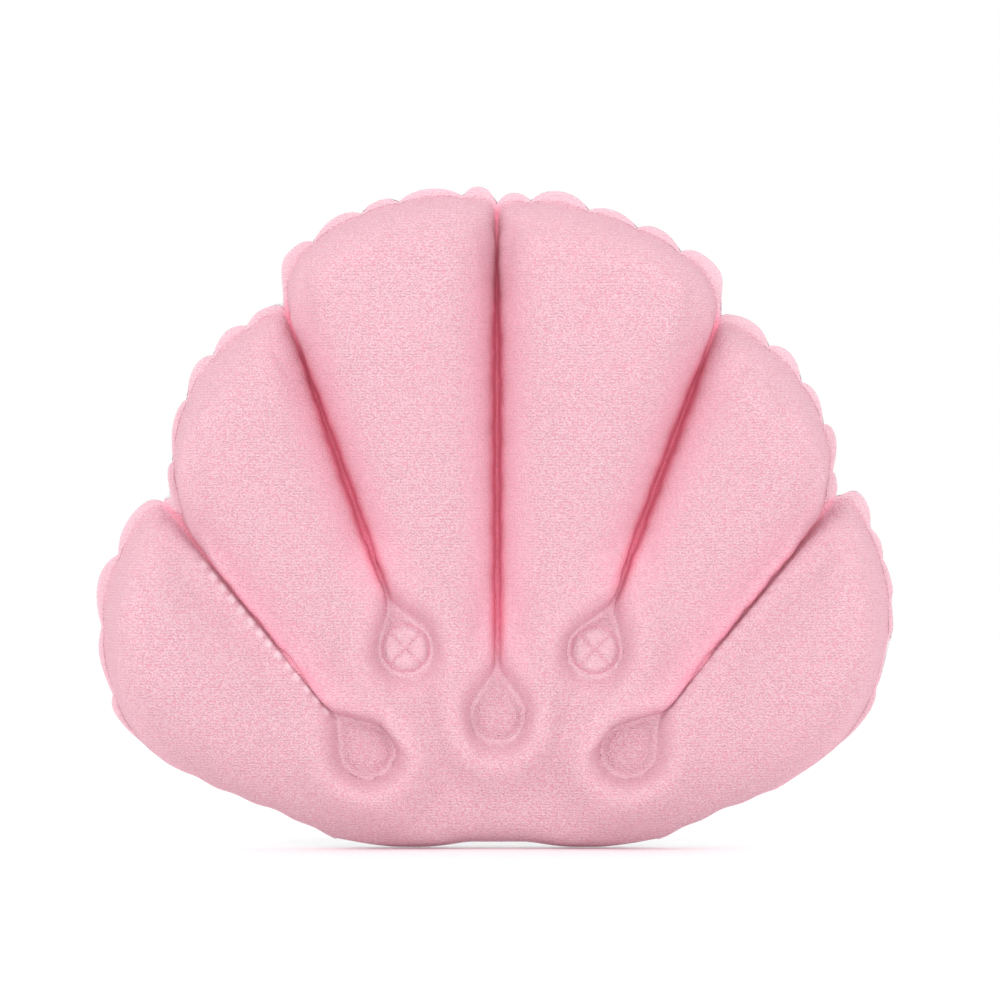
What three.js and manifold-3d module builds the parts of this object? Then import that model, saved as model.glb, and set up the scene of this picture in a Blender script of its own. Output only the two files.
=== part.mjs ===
// Inflatable shell-shaped bath pillow: a towelling face bonded to an air-tight film, a rear film welded to
// it along a fan of channels, a push-in air valve and two suction cups behind.
// Millimetres, +Z up. The face looks towards -Y and the tub wall is the plane y = 0.
import * as THREE from "three";
import { mergeVertices } from "three/addons/utils/BufferGeometryUtils.js";
import Module from "manifold-3d";

const wasm = await Module();
wasm.setup();

// Fan of channels. Radii run from the fan point, below the pillow, where the channel welds would meet.
const FAN_DROP = 128; // from the cup axes down to the fan point
const CHANNEL_PITCH = 20; // degrees between neighbouring channel welds
const SIDE_ANGLE = 67; // degrees from the middle weld to each straight side
const MIDDLE_NOTCH = 354; // outline radius at the middle weld
const INNER_NOTCH = 322; // outline radius at the first weld to each side
const OUTER_NOTCH = 268; // outline radius at the second weld to each side
const SIDE_END = 164; // radius where the outer lobe's round tip meets the straight side
const BASE_RISE = 29; // from the fan point up to the bottom edge at its corners
const BASE_HOLLOW = 3; // how far the bottom edge bows upwards in the middle
const CORNER_CUT = 16; // length taken off each side of a bottom corner by its rounding
const INNER_BULGE = 23; // rise of each lobe tip's arc above its chord
const MIDDLE_BULGE = 16;
const OUTER_BULGE = 37;
const INNER_SCALLOPS = 5; // puckers of the flange round each lobe tip
const MIDDLE_SCALLOPS = 5;
const OUTER_SCALLOPS = 6;
const SCALLOP_DEPTH = 3.5;
const FLANGE_WIDTH = 8.5; // flat weld round the outline, up to the scallops' crests
const WELD_WIDTH = 4; // flat weld along each channel

// Lower ends of the channel welds, which spread into teardrops.
const MIDDLE_TUFT = 95; // radius to the middle teardrop
const OUTER_TUFT = 101; // radius to the outer teardrops
const TUFT_MARGIN = 4; // weld left round a cup socket's foot

// Sheets and how far air lifts them. A rear fullness of 1 makes each channel half a circle in section. The
// face is tighter: its walls rise steeply beside the welds and turn into broad crowns.
const FILM_THICKNESS = 0.4;
const PILE_HEIGHT = 2; // towelling on the lobes
const PRESSED_PILE = 0.6; // towelling crushed in the welds
const PILE_RISE = 10; // lift over which crushed towelling grows to its full height
const PLY_GAP = 0.3;
const LOBE_DEPTH = 42; // most that the face stands out along the channels
const BASE_DEPTH = 19; // and below them, among the teardrops
const LOBE_RISE = 62; // length over which the face rises from the one to the other
const FACE_SHOULDER = 0.45; // share of its depth over which a wall turns into a crown
const REAR_FULLNESS = 0.7;

// Suction cups and the sockets that hold them.
const WALL_DEPTH = 32; // from the weld plane to the tub wall
const CUP_RADIUS = 20;
const CUP_RIM = 1.8; // flat ring that seals on the wall
const CUP_HOLLOW = 8.3; // depth of the hollow at its middle
const CUP_CROWN = 2.6; // thickness over the hollow's middle
const CUP_LIP = 0.9; // thickness at the edge
const NECK_RADIUS = 3.3;
const HEAD_RADIUS = 5.2;
const HEAD_HEIGHT = 3;
const SOCKET_PLATE = 1.5; // plate that the cup's neck buttons through
const SOCKET_WALL = 1.5;
const SOCKET_TOP_RADIUS = 8;
const SOCKET_FLARE = 1.2; // extra radius where the socket meets its foot
const SOCKET_FOOT_RADIUS = 11;
const SOCKET_FOOT = 1;
const RUN_GAP = 0.3; // clearance of pieces that turn or slide in one another

// Air valve, on the middle line between the middle teardrop and the bottom edge.
const VALVE_RISE = 59; // from the fan point up to the valve's axis
const BASE_FLANGE_RADIUS = 10;
const BASE_FLANGE = 1.2;
const PAD_MARGIN = 1.2; // level film left round the valve's flange
const BORE_RADIUS = 3.2;
const STEM_WALL = 1.2;
const SLEEVE_WALL = 0.6;
const STEM_OUT = 9; // stem standing out of the film
const STEM_IN = 6; // stem reaching into the air chamber
const COLLAR_BASE = 6.8; // from the film to the collar
const COLLAR_HEIGHT = 1.4;
const COLLAR_RADIUS = 6.2;
const LEDGE_RADIUS = 2.3; // seat of the flap
const LEDGE_HEIGHT = 0.8;
const FLAP_THICKNESS = 0.5;
const FLAP_CLEARANCE = 0.5; // round the flap, so that it can swing
const CAP_RADIUS = 5.2;
const CAP_HEIGHT = 1.8;
const NOSE_LENGTH = 4;
const NOSE_TAPER = 0.6; // loss of radius along the nose
const NOSE_WALL = 1.1;
const STRAP_REACH = 10.4; // from the valve's axis to the strap's root
const STRAP_WIDTH = 3.6;
const STRAP_THICKNESS = 0.8;
const LUG_POST = 1.8; // post on the lug that the strap's root sits on
const TAB_REACH = 8; // pull tab, from the valve's axis

const DEGREE = Math.PI / 180;
const ROUND_STEPS = 24;
const HOLE_STEPS = 16;
const SCALLOP_STEPS = 3;
const EDGE_STEPS = 3;
const SOLVER_PASSES = 900;
const weldPlane = -WALL_DEPTH;
const cupRadiusFromFan = FAN_DROP / Math.cos(CHANNEL_PITCH * DEGREE);
const tuftRadius = SOCKET_FOOT_RADIUS + TUFT_MARGIN;
const padReach = BASE_FLANGE_RADIUS + PAD_MARGIN;
const { lerp, smoothstep } = THREE.MathUtils;

// One half's lobes from the middle outwards: their welds, the outline's radius there, and their tips.
const lobes = [
  {
    from: 0,
    to: CHANNEL_PITCH,
    start: MIDDLE_NOTCH,
    end: INNER_NOTCH,
    bulge: INNER_BULGE,
    scallops: INNER_SCALLOPS,
  },
  {
    from: CHANNEL_PITCH,
    to: 2 * CHANNEL_PITCH,
    start: INNER_NOTCH,
    end: OUTER_NOTCH,
    bulge: MIDDLE_BULGE,
    scallops: MIDDLE_SCALLOPS,
  },
  {
    from: 2 * CHANNEL_PITCH,
    to: SIDE_ANGLE,
    start: OUTER_NOTCH,
    end: SIDE_END,
    bulge: OUTER_BULGE,
    scallops: OUTER_SCALLOPS,
  },
];

// A point of the pillow's outline plan, as x and z, at a radius and an angle in degrees.
function fanPoint(radius, angle) {
  return new THREE.Vector2(radius * Math.sin(angle * DEGREE), radius * Math.cos(angle * DEGREE) - FAN_DROP);
}

function lobeAt(angle) {
  return lobes.find((lobe) => angle <= lobe.to) ?? lobes.at(-1);
}

// Radius at which a ray from the fan point crosses the arc of its lobe's tip.
function tipRadius(signedAngle) {
  const angle = Math.abs(signedAngle);
  const lobe = lobeAt(angle);
  const first = fanPoint(lobe.start, lobe.from);
  const last = fanPoint(lobe.end, lobe.to);
  const chord = last.clone().sub(first);
  const arcRadius = (chord.lengthSq() / 4 + lobe.bulge ** 2) / (2 * lobe.bulge);
  const outward = new THREE.Vector2(-chord.y, chord.x).normalize();
  const toCentre = first.clone().lerp(last, 0.5).addScaledVector(outward, lobe.bulge - arcRadius);
  toCentre.sub(fanPoint(0, 0));
  const along = toCentre.dot(fanPoint(1, angle).sub(fanPoint(0, 0)));
  return along + Math.sqrt(along ** 2 - toCentre.lengthSq() + arcRadius ** 2);
}

// Edges of the lobes from left to right: the two sides, and the channel welds with their teardrops' radii.
const rightEdges = [
  { angle: SIDE_ANGLE, inset: FLANGE_WIDTH, tuft: null },
  { angle: 2 * CHANNEL_PITCH, inset: WELD_WIDTH / 2, tuft: OUTER_TUFT },
  { angle: CHANNEL_PITCH, inset: WELD_WIDTH / 2, tuft: cupRadiusFromFan },
];
const lobeEdges = [
  ...rightEdges.map((edge) => ({ ...edge, angle: -edge.angle })),
  { angle: 0, inset: WELD_WIDTH / 2, tuft: MIDDLE_TUFT },
  ...rightEdges.toReversed(),
];

// Rows of the sheet's grid: from the bottom weld past the valve and the lower teardrops, across the cups'
// teardrops, and on to the tips. Towards the sides the lower rows close up to stay above the bottom weld.
const TIP_ROWS = [0.34, 0.68, 0.92, 1];
const tuftBand = tuftRadius - TUFT_MARGIN / 4;
const lowerTufts = (MIDDLE_TUFT + OUTER_TUFT) / 2;
const bottomWeld = BASE_RISE + FLANGE_WIDTH;
const cupRows = [-1, 0, 1].map((step) => cupRadiusFromFan + step * tuftBand);
const lowerRows = [-1, 1].flatMap((step) => [
  VALVE_RISE + step * padReach,
  lowerTufts + (step * tuftRadius * 2) / 3,
]);
const lowRows = [bottomWeld, ...lowerRows.sort((first, second) => first - second)];

function rowRadii(angle) {
  const bottom = bottomWeld / Math.cos(angle * DEGREE);
  const tip = tipRadius(angle) - FLANGE_WIDTH;
  const squeeze = (cupRows[0] - bottom) / (cupRows[0] - bottomWeld);
  return [
    ...lowRows.map((radius) => cupRows[0] - (cupRows[0] - radius) * squeeze),
    ...cupRows,
    ...TIP_ROWS.map((share) => lerp(cupRows.at(-1), tip, share)),
  ];
}

// Flat grid of one sheet, column by column from left to right, with two columns on every channel weld.
// The columns beside a weld are as far out as the teardrop of a cup.
function sheetGrid() {
  const channelAtCup = cupRadiusFromFan * CHANNEL_PITCH * DEGREE - WELD_WIDTH;
  const flatShare = (tuftBand - WELD_WIDTH / 2) / channelAtCup;
  const sharesBeside = (edge) => (edge.tuft === null ? [0, flatShare] : [0, flatShare / 4, flatShare]);
  const columns = [];
  for (let lobe = 0; lobe + 1 < lobeEdges.length; lobe += 1) {
    const left = lobeEdges[lobe];
    const right = lobeEdges[lobe + 1];
    const rightShares = sharesBeside(right).map((share) => 1 - share);
    for (const share of [...sharesBeside(left), 0.5, ...rightShares.reverse()]) {
      const points = rowRadii(lerp(left.angle, right.angle, share)).map((radius) => {
        const first = left.angle + Math.asin(left.inset / radius) / DEGREE;
        const last = right.angle - Math.asin(right.inset / radius) / DEGREE;
        return fanPoint(radius, lerp(first, last, share));
      });
      const onWeld = share === 0 || share === 1;
      columns.push({ points, weld: onWeld ? [left, right][share] : null });
    }
  }
  return columns;
}

const columns = sheetGrid();
const rowCount = columns[0].points.length;
const gridPoints = columns.flatMap((column) => column.points);

// Grid points held flat: the rim of the grid, the channel welds above their teardrops, and the teardrops.
function weldedPoints() {
  const tufts = lobeEdges.slice(1, -1).map((edge) => fanPoint(edge.tuft, edge.angle));
  return gridPoints.map((point, index) => {
    const { weld } = columns[Math.floor(index / rowCount)];
    const row = index % rowCount;
    const outermost = index < rowCount || index >= gridPoints.length - rowCount;
    if (outermost || row === 0 || row === rowCount - 1) return true;
    if (tufts.some((tuft) => point.distanceTo(tuft) < tuftRadius)) return true;
    return weld !== null && point.distanceTo(fanPoint(0, 0)) > weld.tuft;
  });
}

const welded = weldedPoints();

// Triangles of the grid. A cell with one lifted corner is split so that its other three corners stay
// flat, and any other cell along its shorter diagonal.
function gridTriangles() {
  const triangles = [];
  for (let column = 0; column + 1 < columns.length; column += 1) {
    for (let row = 0; row + 1 < rowCount; row += 1) {
      const corner = column * rowCount + row;
      const beside = corner + rowCount;
      const cell = [corner, beside, beside + 1, corner + 1];
      const lifted = cell.flatMap((index, place) => (welded[index] ? [] : [place]));
      const diagonal = (first, second) => gridPoints[cell[first]].distanceTo(gridPoints[cell[second]]);
      const shorter = diagonal(0, 2) < diagonal(1, 3) ? 1 : 0;
      const splitOff = lifted.length === 1 ? lifted[0] : shorter;
      const [a, b, c, d] = [0, 1, 2, 3].map((step) => cell[(splitOff + step) % 4]);
      triangles.push([a, b, d], [b, c, d]);
    }
  }
  return triangles;
}

// Right half of the flange's outer edge, from the middle of the bottom round to the middle weld.
function halfOutline() {
  const bottomCorner = fanPoint(BASE_RISE / Math.cos(SIDE_ANGLE * DEGREE), SIDE_ANGLE);
  const alongSide = fanPoint(1, SIDE_ANGLE).sub(fanPoint(0, SIDE_ANGLE));
  const beforeCorner = bottomCorner.clone().setX(bottomCorner.x - CORNER_CUT);
  const afterCorner = bottomCorner.clone().addScaledVector(alongSide, CORNER_CUT);
  const points = [new THREE.Vector2(0, bottomCorner.y + BASE_HOLLOW)];
  const hollow = new THREE.Vector2(beforeCorner.x / 2, bottomCorner.y + BASE_HOLLOW);
  const bottomEdge = new THREE.QuadraticBezierCurve(points[0].clone(), hollow, beforeCorner);
  const cornerRound = new THREE.QuadraticBezierCurve(beforeCorner, bottomCorner, afterCorner);
  for (const curve of [bottomEdge, cornerRound]) points.push(...curve.getPoints(EDGE_STEPS).slice(1));
  for (const lobe of [...lobes].reverse()) {
    const steps = lobe.scallops * SCALLOP_STEPS;
    for (let step = 0; step < steps; step += 1) {
      const share = step / steps;
      const angle = lerp(lobe.to, lobe.from, share);
      const pucker = 1 - Math.abs(Math.sin(Math.PI * lobe.scallops * share));
      points.push(fanPoint(tipRadius(angle) - SCALLOP_DEPTH * pucker, angle));
    }
  }
  points.push(fanPoint(MIDDLE_NOTCH - SCALLOP_DEPTH, 0));
  return points;
}

function wholeOutline() {
  const right = halfOutline();
  const left = right.slice(1, -1).reverse();
  return [...right, ...left.map((point) => new THREE.Vector2(-point.x, point.y))];
}

const outline = wholeOutline();

// Indices of the grid's own edge, in the same turning sense as the outline.
function gridEdge() {
  const last = columns.length - 1;
  const edge = [];
  for (let column = 0; column < last; column += 1) edge.push(column * rowCount);
  for (let row = 0; row < rowCount - 1; row += 1) edge.push(last * rowCount + row);
  for (let column = last; column > 0; column -= 1) edge.push(column * rowCount + rowCount - 1);
  for (let row = rowCount - 1; row > 0; row -= 1) edge.push(row);
  return edge;
}

function flangeTriangles() {
  const edge = gridEdge();
  const outlineIndices = outline.map((_, index) => gridPoints.length + index);
  const order = [...outlineIndices, ...edge];
  const faces = THREE.ShapeUtils.triangulateShape(
    outline,
    [edge.map((index) => gridPoints[index])],
  );
  return faces.map((face) => face.map((corner) => order[corner]));
}

const planPoints = [...gridPoints, ...outline];
const liftedTriangles = gridTriangles();
const sheetTriangles = [...liftedTriangles, ...flangeTriangles()];

// Lift of a sheet that air presses up between its welds: a membrane's sag, drawn to round sections.
function airLift() {
  const load = new Float64Array(gridPoints.length);
  const links = gridPoints.map(() => new Map());
  for (const triangle of liftedTriangles) {
    const [a, b, c] = triangle.map((index) => gridPoints[index]);
    const doubleArea = Math.abs(b.clone().sub(a).cross(c.clone().sub(a)));
    triangle.forEach((index, corner) => {
      load[index] += doubleArea / 6;
      const near = triangle[(corner + 1) % 3];
      const far = triangle[(corner + 2) % 3];
      const arms = [near, far].map((end) => gridPoints[end].clone().sub(gridPoints[index]));
      const stiffness = arms[0].dot(arms[1]) / doubleArea / 2;
      links[near].set(far, (links[near].get(far) ?? 0) + stiffness);
      links[far].set(near, (links[far].get(near) ?? 0) + stiffness);
    });
  }
  const sag = new Float64Array(gridPoints.length);
  for (let pass = 0; pass < SOLVER_PASSES; pass += 1) {
    links.forEach((ends, index) => {
      if (welded[index]) return;
      let pull = load[index];
      let total = 0;
      for (const [end, stiffness] of ends) {
        pull += stiffness * sag[end];
        total += stiffness;
      }
      sag[index] = pull / total;
    });
  }
  return Array.from(sag, (value) => Math.sqrt(2 * Math.max(value, 0)));
}

const lift = airLift();

// Lift of the face at a plan point where a round section would have the given lift.
function faceLiftAt(point, roundLift) {
  const alongLobe = point.distanceTo(fanPoint(0, 0)) - lowerTufts - tuftRadius;
  const depth = lerp(BASE_DEPTH, LOBE_DEPTH, smoothstep(alongLobe, 0, LOBE_RISE));
  return depth * Math.tanh(roundLift / (FACE_SHOULDER * depth));
}

const faceLift = planPoints.map((point, index) => faceLiftAt(point, lift[index] ?? 0));
const rearLift = planPoints.map((_, index) => REAR_FULLNESS * (lift[index] ?? 0));

// The rear sheet is drawn level under the valve's flange.
const valvePlace = fanPoint(VALVE_RISE, 0);
const padPoints = gridPoints.flatMap((point, index) => {
  const offset = point.clone().sub(valvePlace);
  const near = Math.max(Math.abs(offset.x), Math.abs(offset.y)) < padReach + PAD_MARGIN;
  return near && rearLift[index] > 0 ? [index] : [];
});
const padLift = padPoints.reduce((sum, index) => sum + rearLift[index], 0) / padPoints.length;
for (const index of padPoints) rearLift[index] = padLift;

// A ply of the pillow as a closed solid: a sheet lifted from the weld plane to one side, -1 for the face and
// 1 for the rear, that starts a depth above the lifted surface and has a thickness of its own at each point.
function plySolid(side, lifts, depth, thicknessAt) {
  const count = planPoints.length;
  const surface = new THREE.BufferGeometry();
  const places = planPoints.map((point, index) => {
    const y = weldPlane + side * (PLY_GAP / 2 + lifts[index]);
    return new THREE.Vector3(point.x, y, point.y);
  });
  surface.setFromPoints(places);
  surface.setIndex(sheetTriangles.flat());
  surface.computeVertexNormals();
  const normals = surface.getAttribute("normal");
  const layer = (distanceAt) =>
    places.map((place, index) => {
      const normal = new THREE.Vector3().fromBufferAttribute(normals, index);
      if (normal.y * side < 0) normal.negate();
      return place.clone().addScaledVector(normal, distanceAt(index));
    });
  const inner = layer(() => depth);
  const outer = layer((index) => depth + thicknessAt(lifts[index]));
  const indices = [];
  for (const [a, b, c] of sheetTriangles) indices.push(a, b, c, count + a, count + c, count + b);
  outline.forEach((_, step) => {
    const here = gridPoints.length + step;
    const next = gridPoints.length + ((step + 1) % outline.length);
    indices.push(next, here, count + here, next, count + here, count + next);
  });
  const solid = new THREE.BufferGeometry().setFromPoints([...inner, ...outer]);
  solid.setIndex(indices);
  return facingOut(solid);
}

// The same closed surface with its faces pointing out.
function facingOut(geometry) {
  const positions = geometry.getAttribute("position");
  const order = geometry.getIndex();
  const corner = (index) => new THREE.Vector3().fromBufferAttribute(positions, order.getX(index));
  let volume = 0;
  for (let index = 0; index < order.count; index += 3) {
    volume += corner(index).dot(corner(index + 1).cross(corner(index + 2)));
  }
  if (volume > 0) return geometry;
  geometry.setIndex(Array.from(order.array).reverse());
  return geometry;
}

// A closed surface with its shared points merged and its empty triangles dropped.
function closed(geometry) {
  geometry.deleteAttribute("normal");
  geometry.deleteAttribute("uv");
  const merged = mergeVertices(geometry, 1e-4);
  const order = merged.getIndex().array;
  const kept = [];
  for (let index = 0; index < order.length; index += 3) {
    const [a, b, c] = order.slice(index, index + 3);
    if (a !== b && b !== c && c !== a) kept.push(a, b, c);
  }
  merged.setIndex(kept);
  return facingOut(merged);
}

// A round piece from its profile of radius and height along Y, closed on itself or on the axis.
function turned(profile) {
  const points = profile.map(([radius, height]) => new THREE.Vector2(radius, height));
  const hollow = profile.every(([radius]) => radius > 0);
  if (hollow) points.push(points[0].clone());
  return closed(new THREE.LatheGeometry(points, ROUND_STEPS));
}

function block(low, high) {
  const size = high.map((value, axis) => value - low[axis]);
  const middle = high.map((value, axis) => (value + low[axis]) / 2);
  return closed(new THREE.BoxGeometry(...size).translate(...middle));
}

function toSolid(geometry) {
  const vertProperties = new Float32Array(geometry.getAttribute("position").array);
  const triVerts = new Uint32Array(geometry.getIndex().array);
  return new wasm.Manifold(new wasm.Mesh({ numProp: 3, vertProperties, triVerts }));
}

function toGeometry(solid) {
  const mesh = solid.getMesh();
  const geometry = new THREE.BufferGeometry();
  geometry.setAttribute("position", new THREE.BufferAttribute(new Float32Array(mesh.vertProperties), 3));
  geometry.setIndex(Array.from(mesh.triVerts));
  return geometry;
}

function joined(...geometries) {
  return toGeometry(geometries.map(toSolid).reduce((whole, piece) => whole.add(piece)));
}

function cut(geometry, tool) {
  return toGeometry(toSolid(geometry).subtract(toSolid(tool)));
}

const finishes = {
  towelling: new THREE.MeshStandardMaterial({ color: 0xf0b4c3, roughness: 0.95, metalness: 0 }),
  pinkFilm: new THREE.MeshStandardMaterial({ color: 0xf2c6d0, roughness: 0.4, metalness: 0 }),
  whiteFilm: new THREE.MeshStandardMaterial({ color: 0xf4f1f0, roughness: 0.35, metalness: 0 }),
  softVinyl: new THREE.MeshStandardMaterial({ color: 0xe9eaea, roughness: 0.3, metalness: 0 }),
  clearVinyl: new THREE.MeshStandardMaterial({ color: 0xe4eef0, roughness: 0.1, metalness: 0 }),
};

const pillow = new THREE.Group();

function place(name, geometry, finish, parent = pillow) {
  const mesh = new THREE.Mesh(geometry, finish);
  mesh.name = name;
  parent.add(mesh);
}

// Pillow body: the towelling, its film and the rear film with the valve's hole.
const stemRadius = BORE_RADIUS + STEM_WALL;
const sleeveRadius = stemRadius + RUN_GAP + SLEEVE_WALL;
const valveHoleRadius = sleeveRadius + RUN_GAP;
const filmThickness = () => FILM_THICKNESS;

function pileThickness(lifted) {
  return lerp(PRESSED_PILE, PILE_HEIGHT, smoothstep(lifted, 0, PILE_RISE));
}

function rearFilm() {
  const sheet = plySolid(1, rearLift, 0, filmThickness);
  const reach = padLift + PLY_GAP + FILM_THICKNESS;
  const drill = new THREE.CylinderGeometry(valveHoleRadius, valveHoleRadius, 2 * reach, HOLE_STEPS);
  drill.translate(valvePlace.x, weldPlane + padLift, valvePlace.y);
  return cut(sheet, closed(drill));
}

place("terry_face", plySolid(-1, faceLift, FILM_THICKNESS + PLY_GAP, pileThickness), finishes.towelling);
place("face_film", plySolid(-1, faceLift, 0, filmThickness), finishes.pinkFilm);
place("rear_film", rearFilm(), finishes.whiteFilm);

// Suction cups, each turned about Y with its rim on the wall plane, and the sockets welded to the rear film.
const crownTop = CUP_HOLLOW + CUP_CROWN;
const plateTop = crownTop + RUN_GAP;
const plateBottom = plateTop + SOCKET_PLATE;
const headTop = plateBottom + RUN_GAP;
const footBottom = WALL_DEPTH - PLY_GAP / 2 - FILM_THICKNESS - PLY_GAP;

function suctionCup() {
  const hollowRadius = CUP_RADIUS - CUP_RIM;
  const hollow = [];
  const back = [];
  for (const share of [0.25, 0.5, 0.75]) {
    const fall = Math.cos((share * Math.PI) / 2);
    hollow.push([hollowRadius * Math.sin((share * Math.PI) / 2), -CUP_HOLLOW * fall]);
    const backRadius = lerp(NECK_RADIUS, CUP_RADIUS, Math.sin((share * Math.PI) / 2));
    back.push([backRadius, -lerp(CUP_LIP, crownTop, fall)]);
  }
  return turned([
    [0, -headTop - HEAD_HEIGHT],
    [HEAD_RADIUS * 0.7, -headTop - HEAD_HEIGHT],
    [HEAD_RADIUS, -headTop - HEAD_HEIGHT / 3],
    [HEAD_RADIUS, -headTop],
    [NECK_RADIUS, -headTop],
    [NECK_RADIUS, -crownTop],
    ...back,
    [CUP_RADIUS, -CUP_LIP],
    [CUP_RADIUS, 0],
    [hollowRadius, 0],
    ...hollow.reverse(),
    [0, -CUP_HOLLOW],
  ]);
}

function cupSocket() {
  const holeRadius = NECK_RADIUS + RUN_GAP;
  const baseRadius = SOCKET_TOP_RADIUS + SOCKET_FLARE;
  return turned([
    [holeRadius, -plateTop],
    [SOCKET_TOP_RADIUS, -plateTop],
    [baseRadius, -footBottom + SOCKET_FOOT],
    [SOCKET_FOOT_RADIUS, -footBottom + SOCKET_FOOT],
    [SOCKET_FOOT_RADIUS, -footBottom],
    [baseRadius - SOCKET_WALL, -footBottom],
    [SOCKET_TOP_RADIUS - SOCKET_WALL, -plateBottom],
    [holeRadius, -plateBottom],
  ]);
}

for (const [side, sign] of [["left", -1], ["right", 1]]) {
  const post = new THREE.Group();
  const centre = fanPoint(cupRadiusFromFan, sign * CHANNEL_PITCH);
  post.position.set(centre.x, 0, centre.y);
  pillow.add(post);
  place(`${side}_cup_socket`, cupSocket(), finishes.softVinyl, post);
  place(`${side}_suction_cup`, suctionCup(), finishes.clearVinyl, post);
}

// Air valve, in a frame of its own: Y runs out of the film from its flange's seat, Z up towards the strap.
const valve = new THREE.Group();
valve.position.set(valvePlace.x, weldPlane + PLY_GAP / 2 + padLift + FILM_THICKNESS + PLY_GAP, valvePlace.y);
pillow.add(valve);

function valveBase() {
  return turned([
    [valveHoleRadius, 0],
    [BASE_FLANGE_RADIUS, 0],
    [BASE_FLANGE_RADIUS, BASE_FLANGE / 2],
    [BASE_FLANGE_RADIUS - BASE_FLANGE, BASE_FLANGE],
    [valveHoleRadius, BASE_FLANGE],
  ]);
}

function valveSleeve() {
  return turned([
    [stemRadius + RUN_GAP, 0],
    [sleeveRadius, 0],
    [sleeveRadius, COLLAR_BASE - RUN_GAP],
    [stemRadius + RUN_GAP, COLLAR_BASE - RUN_GAP],
  ]);
}

const ledgeBottom = -STEM_IN + FLAP_THICKNESS + 2 * RUN_GAP + FLAP_CLEARANCE;
const collarTop = COLLAR_BASE + COLLAR_HEIGHT;

function valveStem() {
  const tube = turned([
    [BORE_RADIUS, -STEM_IN],
    [stemRadius, -STEM_IN],
    [stemRadius, COLLAR_BASE],
    [COLLAR_RADIUS, COLLAR_BASE],
    [COLLAR_RADIUS, collarTop],
    [stemRadius, collarTop],
    [stemRadius, STEM_OUT],
    [BORE_RADIUS, STEM_OUT],
    [BORE_RADIUS, ledgeBottom + LEDGE_HEIGHT],
    [LEDGE_RADIUS, ledgeBottom + LEDGE_HEIGHT],
    [LEDGE_RADIUS, ledgeBottom],
    [BORE_RADIUS, ledgeBottom],
  ]);
  const half = STRAP_WIDTH / 2;
  const lug = block([-half, COLLAR_BASE, stemRadius - STEM_WALL / 2], [half, collarTop, STRAP_REACH]);
  const post = block([-half, COLLAR_BASE, STRAP_REACH - LUG_POST], [half, STEM_OUT, STRAP_REACH]);
  return joined(tube, lug, post);
}

function valvePlug() {
  const seat = STEM_OUT + RUN_GAP;
  const noseRadius = BORE_RADIUS - RUN_GAP;
  const tipRadius = noseRadius - NOSE_TAPER;
  const stopper = turned([
    [0, seat + CAP_HEIGHT],
    [CAP_RADIUS - CAP_HEIGHT / 3, seat + CAP_HEIGHT],
    [CAP_RADIUS, seat + (2 * CAP_HEIGHT) / 3],
    [CAP_RADIUS, seat],
    [noseRadius, seat],
    [tipRadius, seat - NOSE_LENGTH],
    [tipRadius - NOSE_WALL, seat - NOSE_LENGTH],
    [tipRadius - NOSE_WALL, seat - NOSE_WALL],
    [0, seat - NOSE_WALL],
  ]);
  const half = STRAP_WIDTH / 2;
  const strapTop = seat + STRAP_THICKNESS;
  const strap = block([-half, seat, CAP_RADIUS / 2], [half, strapTop, STRAP_REACH]);
  const tab = block([-half, seat, -TAB_REACH], [half, strapTop, -CAP_RADIUS / 2]);
  return joined(stopper, strap, tab);
}

function valveFlap() {
  const radius = BORE_RADIUS - FLAP_CLEARANCE;
  const top = ledgeBottom - RUN_GAP;
  return turned([
    [0, top - FLAP_THICKNESS],
    [radius, top - FLAP_THICKNESS],
    [radius, top],
    [0, top],
  ]);
}

place("valve_base", valveBase(), finishes.softVinyl, valve);
place("valve_sleeve", valveSleeve(), finishes.softVinyl, valve);
place("valve_stem", valveStem(), finishes.softVinyl, valve);
place("valve_plug", valvePlug(), finishes.softVinyl, valve);
place("valve_flap", valveFlap(), finishes.softVinyl, valve);

export default pillow;
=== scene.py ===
"""Inflatable shell-shaped bath pillow: towelling face, white vinyl back, air valve and two suction cups."""
import math

import bmesh
import bpy
import numpy as np
from mathutils import Matrix, Vector


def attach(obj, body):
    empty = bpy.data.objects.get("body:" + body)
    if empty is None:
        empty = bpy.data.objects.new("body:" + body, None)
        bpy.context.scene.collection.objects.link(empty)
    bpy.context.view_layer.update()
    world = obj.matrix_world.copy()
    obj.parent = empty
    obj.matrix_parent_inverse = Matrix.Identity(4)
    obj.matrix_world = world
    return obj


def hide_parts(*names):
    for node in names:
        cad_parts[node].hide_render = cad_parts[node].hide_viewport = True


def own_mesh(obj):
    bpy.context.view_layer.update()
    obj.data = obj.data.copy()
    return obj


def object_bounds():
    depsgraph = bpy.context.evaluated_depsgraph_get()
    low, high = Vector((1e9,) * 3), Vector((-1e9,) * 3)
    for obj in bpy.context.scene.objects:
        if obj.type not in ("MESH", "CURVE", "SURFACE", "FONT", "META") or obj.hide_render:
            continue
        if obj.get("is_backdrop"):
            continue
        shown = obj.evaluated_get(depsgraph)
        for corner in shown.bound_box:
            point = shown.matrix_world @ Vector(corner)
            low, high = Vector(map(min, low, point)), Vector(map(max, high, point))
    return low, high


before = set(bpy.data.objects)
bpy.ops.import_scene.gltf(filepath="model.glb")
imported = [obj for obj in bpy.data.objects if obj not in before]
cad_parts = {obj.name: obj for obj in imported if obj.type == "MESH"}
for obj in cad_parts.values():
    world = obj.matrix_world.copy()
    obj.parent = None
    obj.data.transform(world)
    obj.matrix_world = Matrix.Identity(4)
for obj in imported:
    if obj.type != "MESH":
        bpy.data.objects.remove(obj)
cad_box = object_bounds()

# sizes, in metres and degrees

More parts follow.
